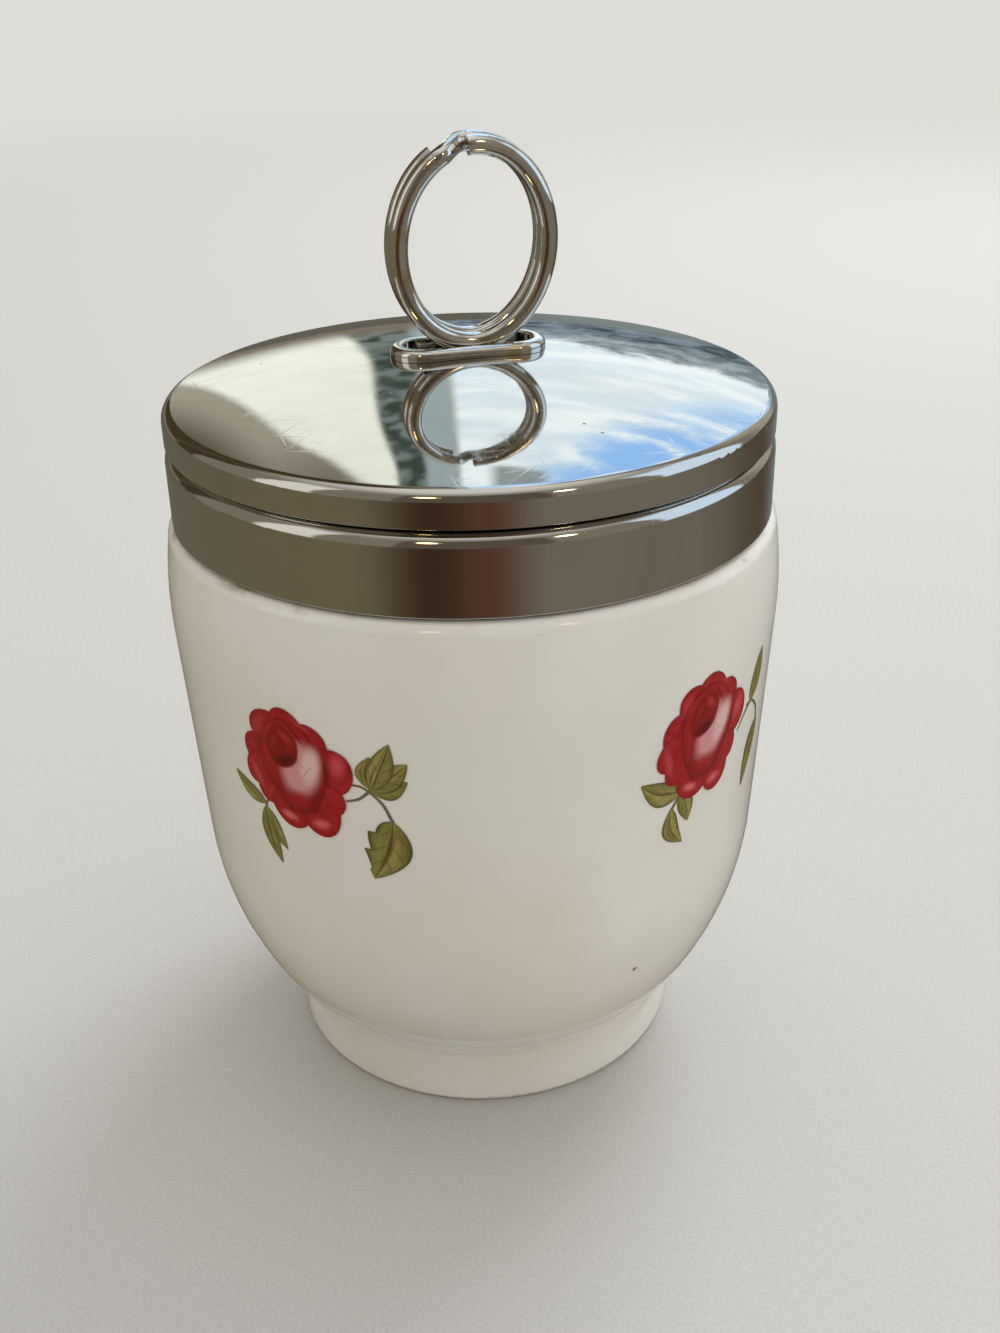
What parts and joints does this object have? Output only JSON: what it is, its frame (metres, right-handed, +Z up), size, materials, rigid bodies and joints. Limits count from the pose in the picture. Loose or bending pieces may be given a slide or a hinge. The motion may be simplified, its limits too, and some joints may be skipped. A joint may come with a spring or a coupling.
{
  "type": "egg coddler",
  "caption": "Lidded china egg cooking cup with a screw neck, rose sprigs, and a chromed two-band screw lid with an upright lifting ring.",
  "frame": {"origin": "centre of the foot ring's base, on the table", "axes": "+Z up along the cup's axis of revolution; -Y is the front, towards which the lifting ring leans; +X to the right"},
  "size_m": [0.0634, 0.0634, 0.0984],
  "materials": {
    "china": "clear glaze over warm white china, printed rose sprigs",
    "chromed_lid": "polished chrome with fine wear scratches",
    "turned_brass": "dull turned brass",
    "chromed_fittings": "polished chrome, slightly worn"
  },
  "bodies": {
    "cup": {"porcelain_cup": "china"},
    "lid": {"lid_dome": "chromed_lid", "ring_socket": "chromed_fittings", "lifting_ring": "chromed_fittings"},
    "band": {"screw_band": "chromed_lid", "thread_ring": "turned_brass"}
  },
  "joints": [
    {"name": "lid_rise", "type": "slide", "parent": "cup", "child": "lid", "axis": [0, 0, 1], "range_m": [0, 0.01261]},
    {"name": "band_turn", "type": "hinge", "parent": "lid", "child": "band", "pos_m": [0, 0, 0.0668], "axis": [0, 0, 1], "range_deg": [0, 1260]}
  ],
  "couplings": [
    {"joint": "lid_rise", "follows": "band_turn", "m_per_rad": 0.00057296}
  ]
}
